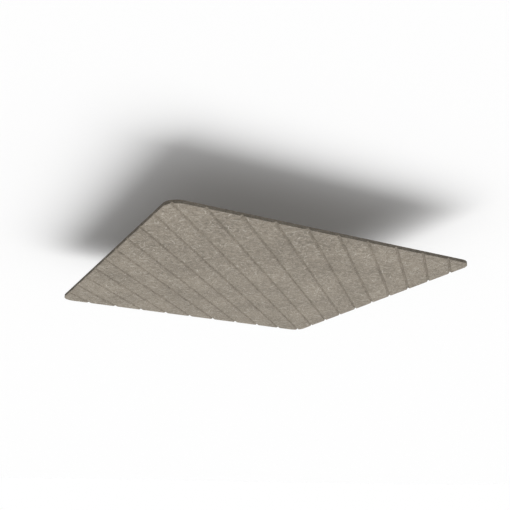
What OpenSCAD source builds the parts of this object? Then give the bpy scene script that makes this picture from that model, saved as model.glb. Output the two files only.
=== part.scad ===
// Acoustic ceiling tile: one square of pressed felt with rounded corners. V grooves run
// diagonally across the face that looks down into the room, and out through the edges.
// The origin is the middle of the flat back, which hangs or is glued under a ceiling.
// +Z points up at the ceiling, and the grooved face looks down.

/* [Tile] */
// Length of the tile along X
tile_length = 1200; // [400:10:2400]
// Width of the tile along Y
tile_width = 1200; // [400:10:2400]
// Thickness of the felt
felt_thickness = 12; // [10:0.5:25]
// Radius of the four corners, seen from below
corner_radius = 50; // [5:1:150]

/* [Grooves] */
// Angle of the grooves from the X axis
groove_angle = 45; // [20:1:70]
// Distance from one groove to the next, along an edge that lies along X
groove_pitch = 120; // [40:1:300]
// Width of a groove at the face of the felt
groove_width = 12; // [3:0.5:20]
// Depth of a groove at its sharp bottom
groove_depth = 6; // [2:0.5:8]

/* [Hidden] */
$fn = 96;

felt_colour = "#948D82";

// The face that looks down, below the flat back at zero
face_z = -felt_thickness;

// Centres of the corner arcs
arc_x = tile_length / 2 - corner_radius;
arc_y = tile_width / 2 - corner_radius;

// Distance between neighbouring grooves, square to their run
groove_step = groove_pitch * sin(groove_angle);

// How far the felt reaches from the middle, square to the grooves, out to a corner arc
corner_reach = arc_x * sin(groove_angle) + arc_y * cos(groove_angle) + corner_radius;

// Grooves on each side of the one through the middle
grooves_each_side = floor(corner_reach / groove_step);

// A cutter runs past both ends of the tile, and dips below the face so that it cuts cleanly
cutter_run = norm([tile_length, tile_width]) + groove_pitch;
cutter_dip = 1;

// Half of the cutter's width where it is widest, on the same slope as the groove's wall
cutter_half = groove_width / 2 * (groove_depth + cutter_dip) / groove_depth;

// The tile's outline: a cross of two rectangles with a disc in each corner
module outline() {
    square([tile_length, 2 * arc_y], center = true);
    square([2 * arc_x, tile_width], center = true);
    for (x = [-arc_x, arc_x], y = [-arc_y, arc_y])
        translate([x, y]) circle(corner_radius);
}

// One V cutter along X, with its tip at the bottom of the groove
module groove_cutter() {
    rotate([90, 0, 90])
        linear_extrude(cutter_run, center = true)
            polygon([[-cutter_half, -cutter_dip], [cutter_half, -cutter_dip], [0, groove_depth]]);
}

// All the grooves, side by side, with one through the middle of the tile
module grooves() {
    translate([0, 0, face_z])
        rotate(groove_angle)
            for (i = [-grooves_each_side : grooves_each_side])
                translate([0, i * groove_step, 0]) groove_cutter();
}

// The tile itself, one solid
module felt_tile() {
    color(felt_colour)
        difference() {
            translate([0, 0, face_z]) linear_extrude(felt_thickness) outline();
            grooves();
        }
}

felt_tile();
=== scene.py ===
# %% [markdown]
# # An acoustic ceiling tile of pressed felt
# The tile is one square of stiff polyester felt. A knife has cut V grooves diagonally across the face that
# looks down into the room, and the corners are rounded. Nothing else is on it, so all that makes it look
# real is in the felt: soft cut edges, a heathered colour and the fibres themselves.
#
# A plain solid of the tile exists already. It could be drawn again here, but loading it gives one size and
# one place to everything that follows.

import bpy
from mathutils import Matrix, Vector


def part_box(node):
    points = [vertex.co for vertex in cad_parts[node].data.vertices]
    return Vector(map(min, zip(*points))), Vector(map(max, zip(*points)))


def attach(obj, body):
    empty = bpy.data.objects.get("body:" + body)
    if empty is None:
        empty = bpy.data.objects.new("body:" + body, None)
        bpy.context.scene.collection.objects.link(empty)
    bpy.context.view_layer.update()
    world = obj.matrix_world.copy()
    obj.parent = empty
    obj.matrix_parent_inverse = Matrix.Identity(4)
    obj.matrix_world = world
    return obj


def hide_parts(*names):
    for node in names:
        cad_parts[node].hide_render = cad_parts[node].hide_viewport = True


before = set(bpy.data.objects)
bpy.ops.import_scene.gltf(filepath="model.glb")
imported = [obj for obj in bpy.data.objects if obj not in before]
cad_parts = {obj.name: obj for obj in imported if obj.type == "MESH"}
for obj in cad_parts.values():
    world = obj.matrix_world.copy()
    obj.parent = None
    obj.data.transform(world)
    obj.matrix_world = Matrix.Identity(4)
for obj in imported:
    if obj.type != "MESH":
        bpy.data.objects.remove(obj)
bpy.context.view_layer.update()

# %% [markdown]
# ## Reading the tile's sizes from its solid
# The sizes could be typed in again, but then two files would have to agree. Reading them from the solid's
# own corner points is safer. The points on the front side show where the round corners begin, and the
# highest points below the back are the ends of the groove bottoms.

# %% Measure the outline
import math

import numpy as np

MM = 0.001               # a millimetre; all lengths are in metres
TOLERANCE = 1e-5         # lengths that differ by less than this are the same

low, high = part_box("felt_tile")
side = high.x - low.x
thickness = high.z - low.z
cad_points = np.array([vertex.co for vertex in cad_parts["felt_tile"].data.vertices], float)
on_front = abs(cad_points[:, 1] - low.y) < TOLERANCE
on_right = abs(cad_points[:, 0] - high.x) < TOLERANCE
corner_radius = high.x - cad_points[on_front, 0].max()
print(f"side {side / MM:.1f}, thickness {thickness / MM:.1f}, corner radius {corner_radius / MM:.1f} mm")

# %% Measure the grooves
rise = cad_points[:, 2] - low.z
groove_depth = rise[rise < thickness - TOLERANCE].max()
in_face = rise < TOLERANCE
in_groove = abs(rise - groove_depth) < TOLERANCE
last_start = cad_points[on_front & in_groove, 0].max()
last_end = cad_points[on_right & in_groove, 1].min()
groove_angle = math.atan2(last_end - low.y, high.x - last_start)
lip_run = abs(cad_points[on_front & in_face, 0] - last_start).min()
groove_half = lip_run * math.sin(groove_angle)
print(f"grooves {2 * groove_half / MM:.1f} mm wide, {groove_depth / MM:.1f} mm deep, "
      f"at {math.degrees(groove_angle):.1f} degrees")

# %% [markdown]
# ## A grid that follows the grooves
# Felt has no hard edges, so the tile needs a mesh that is fine where it bends. A grid along the sides would
# cross the grooves at 45 degrees and leave their lips jagged. So the grid is turned: its rows run along the
# grooves, and each lip and each bottom gets rows of its own. Plain felt between two grooves needs far fewer.

# %% Choose the rows of one groove
BOTTOM_ROWS = (0, 0.0004, 0.0010)                        # from the bottom of the groove
WALL_ROWS = (0.35, 0.55, 0.75)                           # as shares of the way to its lip
LIP_ROWS = (-0.0007, -0.0002, 0.0003, 0.0010, 0.0024)    # from its lip

half_groove = np.array([
    *BOTTOM_ROWS,
    *(groove_half * share for share in WALL_ROWS),
    *(groove_half + step for step in LIP_ROWS),
])
groove_rows = np.concatenate([-half_groove[:0:-1], half_groove])
print(len(groove_rows), "rows for a groove, over", round(2 * half_groove[-1] / MM, 1), "mm")

# %% Choose the rows of the tile
ARRIS = 0.0006       # how far the cut edges of the felt are rubbed round
ROW_GAP = 0.0046     # distance between rows on plain felt, at most
TIP_STEPS = 9        # rows that follow the arc of a corner which points across the grooves
TIP_START = 2        # degrees from that corner's tip to the first row

along = np.array([math.cos(groove_angle), math.sin(groove_angle)])
across = np.array([-along[1], along[0]])
straight_half = side / 2 - corner_radius
face_radius = corner_radius - ARRIS
groove_places = np.unique(np.round(cad_points[in_groove, :2] @ across, 5))
reach = straight_half * (abs(across[0]) + abs(across[1])) + face_radius


def choose_rows():
    """Places of all rows across the tile, from one corner to the opposite one."""
    bend = np.linspace(math.radians(TIP_START), groove_angle, TIP_STEPS)
    tip = reach - face_radius * (1 - np.cos(bend[::-1]))
    knots = [-tip[0], *groove_places, tip[0]]
    rows = [-tip[::-1], tip]
    for i in range(len(knots) - 1):
        start = knots[i] + (groove_rows[-1] if i else 0)
        end = knots[i + 1] + (groove_rows[0] if i < len(knots) - 2 else 0)
        count = math.ceil((end - start) / ROW_GAP)
        rows.append(np.linspace(start, end, count + 1)[1:-1])
    rows += [place + groove_rows for place in groove_places]
    return np.sort(np.concatenate(rows))


row_places = choose_rows()
print(len(groove_places), "grooves,", len(row_places), "rows")

# %% [markdown]
# ## Where a row meets the outline
# The tile is cut to a square with rounded corners. Its outline could be drawn as lines and arcs and cut with
# each row, case by case. One formula for the distance to such a shape is shorter: a row's end is then found
# by halving a stretch that has one end inside and one outside, and keeping the half that still has both.

# %% Find the ends of the rows
HALVINGS = 50


def beyond_outline(points, inset):
    """How far points lie outside the tile's outline, drawn in by inset."""
    past = abs(points) - straight_half
    outer = np.linalg.norm(np.maximum(past, 0), axis=-1)
    inner = np.minimum(past.max(axis=-1), 0)
    return outer + inner - (corner_radius - inset)


def row_ends(direction):
    """The end of each row on the outline of the flat face, on the side that direction gives."""
    near = np.zeros(len(row_places))
    far = np.full(len(row_places), side)
    base = row_places[:, None] * across
    for _ in range(HALVINGS):
        middle = (near + far) / 2
        inside = beyond_outline(base + direction * middle[:, None] * along, ARRIS) < 0
        near = np.where(inside, middle, near)
        far = np.where(inside, far, middle)
    return direction * near


row_starts = row_ends(-1)
row_stops = row_ends(1)
lengths = row_stops - row_starts
print(f"rows from {lengths.min() / MM:.1f} mm to {lengths.max() / MM:.1f} mm long")

# %% [markdown]
# ## The shape of a groove
# A knife leaves a straight V, but felt is springy: the lips round off, the bottom isn't quite sharp, and the
# knife's line wanders by a fraction of a millimetre. A bevel on the solid would round every edge alike and
# keep the lines dead straight. A formula for the height at a point gives all three, with a soft ramp for the
# lips, and it meets the solid at the bottom of the groove.

# %% Describe the grooves
from mathutils import Vector, noise

LIP_SOFTNESS = 0.00045
BOTTOM_SOFTNESS = 0.0005
KNIFE_WANDER = 0.0004
WANDER_LENGTH = 0.035

wall_slope = groove_depth / (groove_half - BOTTOM_SOFTNESS)


def groove_rise(point):
    """Height of the lower face above its plane at a point: nothing on plain felt, most in a groove."""
    place = float(point @ across)
    centre = groove_places[abs(groove_places - place).argmin()]
    run = float(point @ along)
    wander = KNIFE_WANDER * noise.noise(Vector((run, centre, 0)) / WANDER_LENGTH)
    from_centre = math.hypot(place - centre + wander, BOTTOM_SOFTNESS)
    inside = (groove_half - from_centre) / LIP_SOFTNESS
    soft = max(inside, 0) + math.log1p(math.exp(-abs(inside)))
    return wall_slope * LIP_SOFTNESS * soft


print(f"groove bottoms {groove_rise(np.zeros(2)) / MM:.2f} mm above the face")

# %% [markdown]
# ## The swell of the faces
# The felt was pressed between flat plates, but it springs back unevenly, so its faces swell by a fraction
# of a millimetre. A displacement modifier could do that later. Adding smooth noise to the heights as the
# points are laid needs no second step, and the rims of the faces follow it.

# %% Describe the swell
SWELL = 0.00022          # broad and soft
SWELL_LENGTH = 0.06
LUMP = 0.00010           # small and close together
LUMP_LENGTH = 0.011


def uneven(point, length, seed):
    """Smooth noise from about -1 to 1, with bumps of the given length."""
    return noise.noise(Vector((*point, seed)) / length)


def felt_swell(point, seed):
    """How far pressed felt stands above or below its flat plane."""
    return SWELL * uneven(point, SWELL_LENGTH, seed) + LUMP * uneven(point, LUMP_LENGTH, seed + 1)


print(f"the faces swell by up to {(SWELL + LUMP) / MM:.2f} mm")

# %% [markdown]
# ## Laying the two faces
# The lower face has the grooves and the back is plain. They could be two unlike grids, but then joining
# their rims would be hard. Both use the same rows instead, so their rims have the same number of points and
# the cut edge can join them one to one. Inside, the points of a row stand on a common grid, and neighbouring
# rows join in four-sided faces. Only the last face at each end of a strip has another number of corners.

# %% Lay one row
CLEAR_OF_END = 0.3       # a grid point stays this share of a step away from the row's end

points = []              # corner points of the whole tile, in metres
faces = []               # each face is a list of numbers of points


def lay_row(place, start, stop, step, height):
    """Adds the points of one row; returns the grid number of its first inner point and all its points."""
    first = math.ceil(start / step + CLEAR_OF_END)
    last = math.floor(stop / step - CLEAR_OF_END)
    runs = [start, *(step * np.arange(first, last + 1)), stop]
    numbers = []
    for run in runs:
        flat = place * across + run * along
        numbers.append(len(points))
        points.append((*flat, height(flat)))
    return first, numbers


print(f"grid points keep {CLEAR_OF_END:.0%} of a step away from the outline")

# %% Join two rows
def join_rows(lower, upper):
    """Joins two neighbouring rows with faces, whose corners run counterclockwise seen from above."""
    (first_a, a), (first_b, b) = lower, upper
    start = max(first_a, first_b)
    stop = min(first_a + len(a) - 3, first_b + len(b) - 3)
    if stop < start:
        return [a + b[::-1]]
    i, j = start - first_a + 1, start - first_b + 1
    made = [a[:i + 1] + b[j::-1]]
    for step in range(stop - start):
        made.append([a[i + step], a[i + step + 1], b[j + step + 1], b[j + step]])
    i, j = stop - first_a + 1, stop - first_b + 1
    made.append(a[i:] + b[:j - 1:-1])
    return made


print("two rows of four points:", join_rows((0, [0, 1, 2, 3]), (0, [4, 5, 6, 7])))

# %% Lay both faces
FACE_STEP = 0.010        # distance between points along a row of the grooved face
BACK_STEP = 0.030        # the same on the plain back
FACE_SEED = 3.0          # each face swells in its own way
BACK_SEED = 11.0


def lay_face(step, height):
    """Adds the points of a whole face; returns its faces and its rim, both counterclockwise from above."""
    rows = [lay_row(*row, step, height) for row in zip(row_places, row_starts, row_stops)]
    made = [face for pair in zip(rows, rows[1:]) for face in join_rows(*pair)]
    inner = rows[1:-1]
    right_ends = [numbers[-1] for first, numbers in inner]
    left_ends = [numbers[0] for first, numbers in inner[::-1]]
    return made, rows[0][1] + right_ends + rows[-1][1][::-1] + left_ends


face_made, face_rim = lay_face(FACE_STEP, lambda at: low.z + groove_rise(at) + felt_swell(at, FACE_SEED))
faces += [face[::-1] for face in face_made]
face_count = len(faces)
face_points = len(points)
back_made, back_rim = lay_face(BACK_STEP, lambda at: high.z + felt_swell(at, BACK_SEED))
faces += back_made
back_count = len(faces) - face_count
back_points = len(points) - face_points
print(face_count, "faces below,", back_count, "above, rims of", len(face_rim), "and", len(back_rim))

# %% [markdown]
# ## The cut edge
# The tile was cut from a larger sheet, so its sides show the felt's inside: layer on layer of fibres that
# were needled together, which spring out by different amounts. A straight wall would look like card. The
# edge is a stack of rings instead, which starts at the rim of one face, turns round its arris, climbs the
# side with a little relief in each layer, and turns onto the other face.

# %% Follow the rim
rim_at = np.array([points[number][:2] for number in face_rim])
rim_low = np.array([points[number][2] for number in face_rim])
rim_high = np.array([points[number][2] for number in back_rim])
rim_past = np.maximum(abs(rim_at) - straight_half, 0)
outward = np.sign(rim_at) * rim_past / np.linalg.norm(rim_past, axis=1, keepdims=True)
edge_heights = (rim_high - rim_low) / MM
print(f"the edge is {edge_heights.min():.1f} to {edge_heights.max():.1f} mm high")

# %% Stack the rings
ARRIS_TURNS = np.radians([30, 60, 90])
SIDE_STEPS = 6
LAYER_RELIEF = 0.00022
LAYER_LENGTH = 0.030     # along the side
LAYER_HEIGHT = 0.0022    # up the side


def layer_relief(flat, height):
    """How far a layer of the cut edge stands back from the clean cut."""
    at = Vector((flat[0] / LAYER_LENGTH, flat[1] / LAYER_LENGTH, height / LAYER_HEIGHT))
    return LAYER_RELIEF * (1 + noise.noise(at)) / 2


def lay_ring(out, heights):
    """Adds one ring of points, moved out from the rim, and returns their numbers."""
    numbers = []
    for flat, away, height in zip(rim_at, outward, heights):
        at = flat + away * (out - layer_relief(flat, height) * out / ARRIS)
        numbers.append(len(points))
        points.append((*at, height))
    return numbers


rings = [face_rim]
for turn in ARRIS_TURNS:
    rings.append(lay_ring(ARRIS * math.sin(turn), rim_low + ARRIS * (1 - math.cos(turn))))
for share in np.arange(1, SIDE_STEPS) / SIDE_STEPS:
    rings.append(lay_ring(ARRIS, (1 - share) * (rim_low + ARRIS) + share * (rim_high - ARRIS)))
for turn in ARRIS_TURNS[::-1]:
    rings.append(lay_ring(ARRIS * math.sin(turn), rim_high - ARRIS * (1 - math.cos(turn))))
rings.append(back_rim)
print(len(rings), "rings of", len(face_rim), "points")

# %% Join the rings
columns = len(face_rim)
for under, over in zip(rings, rings[1:]):
    for i in range(columns):
        j = (i + 1) % columns
        faces.append([under[i], under[j], over[j], over[i]])
print(len(points), "points and", len(faces), "faces in all")

# %% [markdown]
# ## One closed mesh
# Felt is one stuff all through, so the tile is one closed mesh. Its faces could be added one at a time with
# operators, as by hand, but one call that takes all points and faces is much faster. Smooth shading hides
# the small flat faces. The mesh then takes the place of the plain solid: it hangs on the same body, hides
# the solid in pictures, and takes the felt finish that is made below.

# %% Make the mesh
import bpy

mesh = bpy.data.meshes.new("felt_tile_soft")
mesh.from_pydata(points, [], faces)
repaired = mesh.validate()
mesh.shade_smooth()
felt_tile = bpy.data.objects.new("felt_tile_soft", mesh)
bpy.context.scene.collection.objects.link(felt_tile)
triangles = sum(len(face) - 2 for face in faces)
print(triangles, "triangles,", "repaired" if repaired else "nothing to repair")

# %% Put it in the place of the solid
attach(felt_tile, "root")
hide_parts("felt_tile")
print(felt_tile.name, "stands for felt_tile")

# %% [markdown]
# ## Marking what the knife cut
# On a pressed face the fibres lie flat and are seen at their full length. Where the knife went through, in
# the grooves and round the sides, mostly their ends are seen. Two materials would leave a hard line between
# the two. A number on each point of the mesh, 0 on a pressed face and 1 on a cut, lets one finish fade.

# %% Mark the cuts
CUT_FADE = 0.0008                    # the mark grows to 1 over this height in a groove
MOST_SWELL = SWELL + LUMP            # felt that is higher than this above the face is in a groove

heights = np.array(points)[:, 2]
cut_marks = np.ones(len(points))
cut_marks[:face_points] = np.clip((heights[:face_points] - low.z - MOST_SWELL) / CUT_FADE, 0, 1)
cut_marks[face_points:face_points + back_points] = 0
mesh.attributes.new("cut", "FLOAT", "POINT").data.foreach_set("value", cut_marks)
print(f"{cut_marks.mean():.0%} of the points are on a cut")

# %% [markdown]
# ## A flat pattern of the tile
# The finish below fills space, so it needs no flat pattern. Programs that can't work out such a finish get
# it as a picture, and a flat pattern says where each face lies on that picture. Blender can unfold a mesh by
# itself, but it would cut this one into many small islands. The tile is simple enough to do it by rule: the
# grooved face gets a large square, the back is squeezed into the column beside it, and the cut edge fills
# four strips above.

# %% Unfold the faces
FACE_ROOM = (0.01, 0.01, 0.70, 0.70)     # left, bottom, width and height, as shares of the picture
BACK_ROOM = (0.73, 0.01, 0.26, 0.98)


def on_picture(room, made):
    """Where the corners of the faces in a list lie on the picture, as seen from above."""
    left, bottom, width, height = room
    corners = np.array(points)[np.concatenate(made), :2]
    return np.array([left, bottom]) + np.array([width, height]) * (corners / side + 0.5)


pattern = [on_picture(FACE_ROOM, faces[:face_count])]
pattern.append(on_picture(BACK_ROOM, faces[face_count:face_count + back_count]))
print("the face takes", FACE_ROOM[2:], "of the picture and the back", BACK_ROOM[2:])

# %% Unfold the edge
STRIPS = 4
STRIP_LEFT = 0.01
STRIP_BOTTOM = 0.73
STRIP_WIDTH = 0.70
STRIP_HEIGHT = 0.05
STRIP_STEP = 0.065

steps = np.linalg.norm(np.roll(rim_at, -1, axis=0) - rim_at, axis=1)
walked = STRIPS * np.concatenate([[0], np.cumsum(steps)]) / steps.sum()
strip = np.minimum(walked[:-1].astype(int), STRIPS - 1)
begin = STRIP_LEFT + STRIP_WIDTH * (walked[:-1] - strip)
end = STRIP_LEFT + STRIP_WIDTH * (walked[1:] - strip)
ring_heights = STRIP_BOTTOM + STRIP_HEIGHT * np.linspace(0, 1, len(rings))
for lower, upper in zip(ring_heights, ring_heights[1:]):
    under, over = STRIP_STEP * strip + lower, STRIP_STEP * strip + upper
    corners = np.array([(begin, under), (end, under), (end, over), (begin, over)])
    pattern.append(corners.transpose(2, 0, 1).reshape(-1, 2))
pattern = np.concatenate(pattern)
mesh.uv_layers.new(name="OFBake").data.foreach_set("uv", pattern.ravel())
print(len(pattern), "corners, from", pattern.min(axis=0).round(3), "to", pattern.max(axis=0).round(3))

# %% [markdown]
# ## Wiring nodes in few words
# A finish in Blender is a graph of nodes, and this felt needs a few hundred of them. Adding each one by hand
# takes many lines, so one small helper adds a node, sets its options, and fills each input with either a
# value or another node's output. The shorter helpers below it stand for the nodes that come up most.

# %% A helper for nodes
MIX_FIRST, MIX_SECOND, MIX_RESULT = 6, 7, 2    # sockets of the mix node that hold colours


class Wiring:
    """Adds nodes to a node tree and joins them."""

    def __init__(self, tree):
        tree.nodes.clear()
        self.tree = tree

    def add(self, kind, inputs=None, **options):
        """A new node; inputs maps names or numbers of its sockets to values or to other sockets."""
        node = self.tree.nodes.new("ShaderNode" + kind)
        for option, value in options.items():
            setattr(node, option, value)
        for socket, value in (inputs or {}).items():
            if isinstance(value, bpy.types.NodeSocket):
                self.tree.links.new(value, node.inputs[socket])
            else:
                node.inputs[socket].default_value = value
        return node

    def maths(self, operation, *values):
        """A number worked out from numbers."""
        return self.add("Math", dict(enumerate(values)), operation=operation).outputs[0]

    def vectors(self, operation, *values):
        """A vector worked out from vectors."""
        return self.add("VectorMath", dict(enumerate(values)), operation=operation).outputs["Vector"]

    def turned(self, vector, angle):
        """A vector turned about the vertical."""
        inputs = {"Vector": vector, "Angle": angle}
        return self.add("VectorRotate", inputs, rotation_type="Z_AXIS").outputs["Vector"]

    def noise(self, at, length, detail=1.0, output=0):
        """Smooth noise with waves of about the given length: a number, or its output named Color."""
        return self.add("TexNoise", {"Vector": at, "Scale": 1 / length, "Detail": detail}).outputs[output]

    def ramp(self, value, start, stop):
        """A soft step from 0 at start to 1 at stop."""
        inputs = {"Value": value, "From Min": start, "From Max": stop}
        return self.add("MapRange", inputs, interpolation_type="SMOOTHSTEP").outputs["Result"]

    def mix(self, share, first, second):
        """A blend of two colours."""
        inputs = {0: share, MIX_FIRST: first, MIX_SECOND: second}
        return self.add("Mix", inputs, data_type="RGBA").outputs[MIX_RESULT]


print("helpers:", [name for name in vars(Wiring) if not name.startswith("_")])

# %% Start the felt's finish
felt = bpy.data.materials.new("felt")
felt.use_nodes = True
wire = Wiring(felt.node_tree)        # the helpers of the felt's finish all add to this tree
place = wire.add("TexCoord").outputs["Object"]
print("a finish with", len(felt.node_tree.nodes), "node:", felt.name)

# %% [markdown]
# ## Shade, from far to near
# The felt is a mix of grey, brown and cream fibres. From across a room it is one warm grey with faint clouds
# in it. Closer, clumps of fibres show, and streaks that run every way where the fibres were carded. A photo
# of felt would repeat and stretch. Layers of noise, measured in metres on the tile, keep their size and run
# on through grooves and round edges. Their sum is the shade that the colours are multiplied with.

# %% Work out the shade
CLOUD_LENGTH = 0.20
CLOUD_GAIN = 0.36
CLUMP_LENGTH = 0.015
CLUMP_GAIN = 0.48
STREAK_LENGTH = 0.030
STREAK_WIDTH = 0.0065
STREAK_CURL = 0.012
STREAK_GAIN = 0.45
STREAK_TURNS = (0.2, 1.25, 2.3)      # the directions of the streaks, in radians
NOISE_MIDDLE = 0.5                   # smooth noise lies about this value


def bent(at, length, curl):
    """A place that noise has pushed sideways, which makes straight lines curl."""
    push = wire.noise(at, length, output="Color")
    return wire.vectors("MULTIPLY_ADD", push, (curl, curl, 0), at)


def streaks(at, turn):
    """Noise that is drawn out along one direction of the tile's plane."""
    squeezed = wire.vectors("DIVIDE", wire.turned(at, turn), (STREAK_LENGTH, STREAK_WIDTH, STREAK_WIDTH))
    return wire.noise(squeezed, 1.0)


curled = bent(place, STREAK_LENGTH, STREAK_CURL)
shades = [(wire.noise(place, CLOUD_LENGTH, detail=0.0), CLOUD_GAIN)]
shades.append((wire.noise(place, CLUMP_LENGTH), CLUMP_GAIN))
shades += [(streaks(curled, turn), STREAK_GAIN) for turn in STREAK_TURNS]
shade = 1.0
for shading, gain in shades:
    shade = wire.maths("MULTIPLY_ADD", wire.maths("SUBTRACT", shading, NOISE_MIDDLE), gain, shade)
print(len(shades), "layers of shade")

# %% [markdown]
# ## Hairs
# Seen from a hand's breadth away, all of the felt is fine curling hairs. Hair as geometry would need
# millions of strands for a tile. Noise gives such lines cheaply: where it crosses its middle value it
# draws a thin curve. Round noise would draw closed rings. So it is drawn out along one direction, and then
# its lines run on like hairs. Each layer has a direction of its own, and together they make a tangle.

# %% Draw the hairs
FELT = (0.2505, 0.218, 0.1755, 1)
CREAM = (0.81, 0.76, 0.675, 1)
BROWN = (0.110, 0.094, 0.074, 1)
HAIR_RUN = 6                         # how much longer than wide the waves of the hairs' noise are
HAIR_FLATNESS = 2.5                  # how much wider than high they are, because hairs lie level in felt
HAIR_BEND = 0.020                    # length of the waves in which the hairs curl
HAIR_CURL = 0.012
HAIR_RISE = 0.5                      # height of a hair in the relief, beside the shade's 1
HAIR_LAYERS = 2                      # each kind of hair is drawn this many times
FIRST_HAIR_SEED = 20
SEED_STEP = Vector((0.37, 0.71, 0.13))
HAIRS = [                            # gap is a length; band is how far from its middle noise draws a hair
    dict(gap=0.0042, band=0.016, colour=BROWN, strength=0.36),
    dict(gap=0.0033, band=0.015, colour=CREAM, strength=0.32),
    dict(gap=0.0021, band=0.021, colour=CREAM, strength=0.26),
]


def elsewhere(seed):
    """The place, moved on so that each layer has its own part of the endless patterns."""
    return wire.vectors("ADD", place, seed * SEED_STEP)


def hair_lines(seed, turn, gap, band):
    """1 on thin curling lines that mostly run one way, and 0 beside them."""
    in_line = wire.turned(bent(elsewhere(seed), HAIR_BEND, HAIR_CURL), turn)
    drawn_out = wire.vectors("DIVIDE", in_line, (HAIR_RUN * gap, gap, gap / HAIR_FLATNESS))
    from_middle = wire.maths("SUBTRACT", wire.noise(drawn_out, 1.0), NOISE_MIDDLE)
    return wire.ramp(wire.maths("ABSOLUTE", from_middle), band, 0.0)


colour = FELT
relief = shade
hair_layers = HAIRS * HAIR_LAYERS
for number, hair in enumerate(hair_layers):
    turn = math.pi * number / len(hair_layers)
    on_hair = hair_lines(FIRST_HAIR_SEED + number, turn, hair["gap"], hair["band"])
    colour = wire.mix(wire.maths("MULTIPLY", on_hair, hair["strength"]), colour, hair["colour"])
    relief = wire.maths("MULTIPLY_ADD", on_hair, HAIR_RISE, relief)
colour = wire.add("VectorMath", {0: colour, "Scale": shade}, operation="SCALE").outputs["Vector"]
print(len(HAIRS), "kinds of hairs in", len(hair_layers), "directions")

# %% [markdown]
# ## Tufts
# Some fibres stay together in loose tufts, the flecks that show from across the room. Noise can't draw
# single short things, so space is divided into flat cells, and each cell holds one tuft that points its own
# way. A point of the surface is in the tuft if it is close to the tuft's line, and on a fibre of it if a
# noise drawn out along that line is high there. Bending space first makes the tuft curl.

# %% Find the tuft of a point
CELL_HEIGHT = 3.0            # in half widths of a tuft
CORE = 0.3                   # share of the half width that has the full colour
TIP = 0.3                    # share of the length, from the middle, where the ends begin to fade
FIBRE_LENGTH = 0.032         # of one fibre in a tuft
FIBRE_WIDTH = 0.0008
FIBRE_EDGES = (0.39, 0.57)   # noise at which a fibre begins to show, and at which it covers
OWN_PART = (90, 70, 50)      # moves each tuft to its own part of the fibres' noise


def tuft_cells(seed, cell, length, half_width, curl):
    """Where a point lies, seen from the middle of its cell's tuft, and the cell's random colour."""
    size = (cell, cell, CELL_HEIGHT * half_width)
    inside = wire.vectors("DIVIDE", bent(elsewhere(seed), length, curl), size)
    cells = wire.add("TexVoronoi", {"Vector": inside, "Scale": 1.0}).outputs
    offset = wire.vectors("MULTIPLY", wire.vectors("SUBTRACT", inside, cells["Position"]), size)
    return offset, cells["Color"]


def on_tuft(offset, chance, turn, length, half_width):
    """1 on the fibres of a tuft that is turned about the vertical, 0 between and beside them."""
    in_line = wire.turned(offset, wire.maths("MULTIPLY", turn, math.pi))
    ahead = wire.add("SeparateXYZ", {0: in_line}).outputs["X"]
    ends = wire.ramp(wire.maths("ABSOLUTE", ahead), length / 2, TIP * length)
    across_it = wire.vectors("MULTIPLY", in_line, (0, 1, 1))
    aside = wire.add("VectorMath", {0: across_it}, operation="LENGTH").outputs["Value"]
    body = wire.ramp(aside, half_width, CORE * half_width)
    drawn_out = wire.vectors("DIVIDE", in_line, (FIBRE_LENGTH, FIBRE_WIDTH, FIBRE_WIDTH))
    fibres = wire.noise(wire.vectors("MULTIPLY_ADD", chance, OWN_PART, drawn_out), 1.0, detail=0.0)
    return wire.maths("MULTIPLY", wire.maths("MULTIPLY", body, ends), wire.ramp(fibres, *FIBRE_EDGES))


print(f"a tuft's fibres are about {FIBRE_WIDTH / MM:.1f} mm apart")

# %% [markdown]
# ## How many tufts
# The tufts differ in size, colour and strength, so a short list gives the kinds and a loop draws them over
# one another. A cell holds only one tuft. Smaller cells would give more of them, but would cut off their
# ends. Drawing each kind twice, from two parts of the endless pattern, lets tufts cross as they do in felt.
# They show more in some places than in others. On a cut they hardly show, because the knife leaves the ends
# of the fibres and not their length.

# %% Draw the tufts
MOTTLE_LENGTH = 0.055
MOTTLE_EDGES = (0.3, 0.7)
FAINTEST = 0.48              # share of their strength that the tufts have where they show least
LOST_ON_CUTS = 0.7           # share of their strength that a cut takes away
TONE_EDGES = (0.15, 0.9)     # chance at which a tuft begins to show, and at which it shows fully
TUFT_LAYERS = 2              # each kind of tuft is drawn this many times
FIRST_TUFT_SEED = 1
TUFTS = [
    dict(cell=0.036, length=0.048, half_width=0.0021, curl=0.020, colour=CREAM, strength=0.70),
    dict(cell=0.026, length=0.034, half_width=0.0019, curl=0.016, colour=CREAM, strength=0.70),
    dict(cell=0.020, length=0.026, half_width=0.0017, curl=0.012, colour=CREAM, strength=0.70),
    dict(cell=0.013, length=0.015, half_width=0.0015, curl=0.008, colour=CREAM, strength=0.60),
    dict(cell=0.026, length=0.036, half_width=0.0022, curl=0.014, colour=BROWN, strength=0.58),
    dict(cell=0.013, length=0.014, half_width=0.0014, curl=0.007, colour=BROWN, strength=0.42),
]

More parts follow.
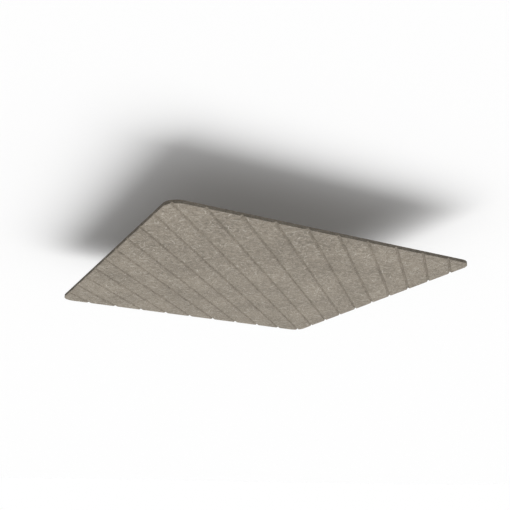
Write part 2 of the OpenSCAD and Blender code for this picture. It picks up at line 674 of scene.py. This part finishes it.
mottle = wire.ramp(wire.noise(place, MOTTLE_LENGTH), *MOTTLE_EDGES)
showing = wire.maths("MULTIPLY_ADD", mottle, 1 - FAINTEST, FAINTEST)
cut_here = wire.add("Attribute", attribute_name="cut").outputs["Fac"]
showing = wire.maths("MULTIPLY", showing, wire.maths("MULTIPLY_ADD", cut_here, -LOST_ON_CUTS, 1.0))
for seed, tuft in enumerate(TUFTS * TUFT_LAYERS, FIRST_TUFT_SEED):
    length, half_width = tuft["length"], tuft["half_width"]
    offset, chance = tuft_cells(seed, tuft["cell"], length, half_width, tuft["curl"])
    draws = wire.add("SeparateColor", {0: chance}).outputs
    share = wire.maths("MULTIPLY", on_tuft(offset, chance, draws["Red"], length, half_width), showing)
    share = wire.maths("MULTIPLY", share, wire.ramp(draws["Green"], *TONE_EDGES))
    colour = wire.mix(wire.maths("MULTIPLY", share, tuft["strength"]), colour, tuft["colour"])
print(len(TUFTS), "kinds of tufts in", TUFT_LAYERS, "layers,", len(felt.node_tree.nodes), "nodes so far")

# %% [markdown]
# ## The surface
# Felt is as matt as a surface gets, so it is rough all over and hardly reflects. Its loose fibre ends catch
# some light when they are seen from a low angle, which is what sheen is for. The hairs and the streaks are
# far finer than the mesh, so they rise as bump, which bends the light without new points.

# %% Finish the felt
BUMP_HEIGHT = 0.0004
BUMP_STRENGTH = 0.8

bump = wire.add("Bump", {"Strength": BUMP_STRENGTH, "Distance": BUMP_HEIGHT, "Height": relief})
shader = wire.add("BsdfPrincipled", {
    "Base Color": colour,
    "Roughness": 0.95,
    "Specular IOR Level": 0.1,
    "Sheen Weight": 0.06,
    "Sheen Roughness": 0.5,
    "Sheen Tint": (0.9, 0.85, 0.78, 1),
    "Normal": bump.outputs[0],
})
wire.add("OutputMaterial", {"Surface": shader.outputs[0]})
mesh.materials.append(felt)
print("the felt has", len(felt.node_tree.nodes), "nodes")

# %% [markdown]
# ## The stage
# From below, the tile hangs under a pale ceiling and throws a soft shadow up onto it. From above, it lies
# over a pale floor. Two solid planes would shut out the light between them. So each is there only for the
# view that needs it: seen from its other side, or by light on its way to the tile, it is clear.

# %% Mix the stage's finish
PALE = 0.92


def seen_directly(wiring):
    """1 for what the camera sees, also in a mirror or through glass, and 0 for other light."""
    path = wiring.add("LightPath").outputs
    seen = wiring.maths("MAXIMUM", path["Is Camera Ray"], path["Is Glossy Ray"])
    return wiring.maths("MAXIMUM", seen, path["Is Transmission Ray"])


def stage_finish(name, glow):
    """A pale matt finish that only shows from the front of a plane, to whoever looks at it."""
    material = bpy.data.materials.new(name)
    material.use_nodes = True
    wiring = Wiring(material.node_tree)
    matt = wiring.add("BsdfDiffuse", {"Color": (PALE, PALE, PALE, 1)})
    shine = wiring.add("Emission", {"Strength": glow})
    pale = wiring.add("AddShader", {0: matt.outputs[0], 1: shine.outputs[0]})
    behind = wiring.add("NewGeometry").outputs["Backfacing"]
    shown = wiring.maths("MULTIPLY", seen_directly(wiring), wiring.maths("SUBTRACT", 1.0, behind))
    clear = wiring.add("BsdfTransparent")
    both = wiring.add("MixShader", {0: shown, 1: clear.outputs[0], 2: pale.outputs[0]})
    wiring.add("OutputMaterial", {"Surface": both.outputs[0]})
    return material


print(f"the stage reflects {PALE:.0%} of the light")

# %% Build the ceiling and the floor
CEILING_GAP = 0.199      # above the back of the tile
CEILING_GLOW = 0.05
FLOOR_GAP = 0.0005       # below its face
FLOOR_GLOW = 0.08
STAGE_SIZE = 60.0


def stage_plane(name, height, faces_up, material):
    """A wide plane at a height, whose front looks up or down."""
    half = STAGE_SIZE / 2
    rim = [(-half, -half, height), (half, -half, height), (half, half, height), (-half, half, height)]
    plane_mesh = bpy.data.meshes.new(name)
    plane_mesh.from_pydata(rim, [], [(0, 1, 2, 3) if faces_up else (3, 2, 1, 0)])
    plane_mesh.materials.append(material)
    plane = bpy.data.objects.new(name, plane_mesh)
    bpy.context.scene.collection.objects.link(plane)


stage_plane("ceiling", high.z + CEILING_GAP, False, stage_finish("pale_ceiling", CEILING_GLOW))
stage_plane("floor", low.z - FLOOR_GAP, True, stage_finish("pale_floor", FLOOR_GLOW))
print(f"a ceiling {CEILING_GAP / MM:.0f} mm above the back and a floor just below the face")

# %% [markdown]
# ## Light from the room
# A tile in a room gets light from all sides. Many lamps around it could give that, but the world does it
# alone: a dome that is brighter below, where most of the room is, than above, and a little brighter to the
# front. That difference is what sets the two sides of the tile apart. What the camera sees of the dome is
# plain white.

# %% Light the room
DOME_BELOW = 0.46                       # brightness of the room as the tile sees it
DOME_ABOVE = 0.20
DOME_EDGE = 0.02
DOME_TILT = (0.12, -0.24, 0)            # how much brighter the room is towards +X, +Y and +Z

scene = bpy.context.scene
scene.world = bpy.data.worlds.new("pale_room")
scene.world.use_nodes = True
world = Wiring(scene.world.node_tree)
direction = world.add("TexCoord").outputs["Generated"]
upness = world.add("SeparateXYZ", {0: direction}).outputs["Z"]
dome_range = {"From Min": -DOME_EDGE, "From Max": DOME_EDGE, "To Min": DOME_BELOW, "To Max": DOME_ABOVE}
dome = world.add("MapRange", {"Value": upness, **dome_range}).outputs["Result"]
tilt = world.add("VectorMath", {0: direction, 1: DOME_TILT}, operation="DOT_PRODUCT").outputs["Value"]
dome = world.maths("MULTIPLY", dome, world.maths("ADD", tilt, 1.0))
level = world.maths("MAXIMUM", seen_directly(world), dome)
backdrop = world.add("Background", {"Color": (1, 1, 1, 1), "Strength": level})
world.add("OutputWorld", {"Surface": backdrop.outputs[0]})
print(f"the room is {DOME_BELOW / DOME_ABOVE:.1f} times as bright below as above")

# %% [markdown]
# ## Two lamps
# Most light on the face comes up from a large bright area on the far right. How soft the edge of the tile's
# shadow is gives the size of that area. An area lamp would do, but it fades with distance. A sun lamp with
# a wide angle lights the whole tile evenly. A second one lights the back from above. It only reaches what
# is seen at first sight, so that it doesn't bounce off the back and fill the shadow on the ceiling.

# %% Hang the lamps
LOWER_LEVEL = 0.635                     # a white that faces the lamp would have this brightness
LOWER_SPREAD = math.radians(71)
LOWER_TRAVEL = (-0.084, -0.069, 0.211)  # the way the light goes
UPPER_LEVEL = 0.92
UPPER_SPREAD = math.radians(50)
UPPER_TRAVEL = (-0.3, -0.35, -1)
FIRST_SIGHT = 1.5                       # light that has bounced has a larger depth than this


def wide_lamp(name, level, spread, travel):
    """A soft lamp without a place, whose light goes in one direction."""
    lamp = bpy.data.lights.new(name, "SUN")
    lamp.energy = level * math.pi
    lamp.angle = spread
    lamp_object = bpy.data.objects.new(name, lamp)
    lamp_object.rotation_euler = Vector(travel).to_track_quat("-Z", "Y").to_euler()
    scene.collection.objects.link(lamp_object)
    return lamp


wide_lamp("light_from_below", LOWER_LEVEL, LOWER_SPREAD, LOWER_TRAVEL)
upper = wide_lamp("light_from_above", UPPER_LEVEL, UPPER_SPREAD, UPPER_TRAVEL)
upper.use_nodes = True
bulb = Wiring(upper.node_tree)
first_sight = bulb.maths("LESS_THAN", bulb.add("LightPath").outputs["Ray Depth"], FIRST_SIGHT)
shine = bulb.add("Emission", {"Strength": first_sight})
bulb.add("OutputLight", {"Surface": shine.outputs[0]})
print("lamps:", [lamp.name for lamp in bpy.data.lights])

# %% [markdown]
# ## The camera
# A ceiling tile is looked at from below, from a few steps away. The camera could be moved by eye until the
# view fits, but its place follows from the four corners of the tile in the picture: with a common lens, only
# one place and one direction put all four where they are.

# %% Place the camera
CAMERA_FROM_FACE = (-1.0784, -1.9748, -0.6904)   # from the middle of the lower face, in sides of the tile
CAMERA_HEADING = math.radians(28.949)            # from +Y towards +X
CAMERA_PITCH = math.radians(19.346)              # upwards
LENS_MM = 50
SENSOR_MM = 36

camera = bpy.data.cameras.new("camera")
camera.lens = LENS_MM
camera.sensor_width = SENSOR_MM
camera_object = bpy.data.objects.new("camera", camera)
face_middle = Vector((0, 0, low.z))
camera_object.location = face_middle + side * Vector(CAMERA_FROM_FACE)
camera_object.rotation_euler = (math.pi / 2 + CAMERA_PITCH, 0, -CAMERA_HEADING)
scene.collection.objects.link(camera_object)
scene.camera = camera_object
scene.view_settings.view_transform = "Standard"
print("camera at", [round(x, 3) for x in camera_object.location])

# %% [markdown]
# ## The size
# Felt may swell past the solid that it stands for, but only by a little.
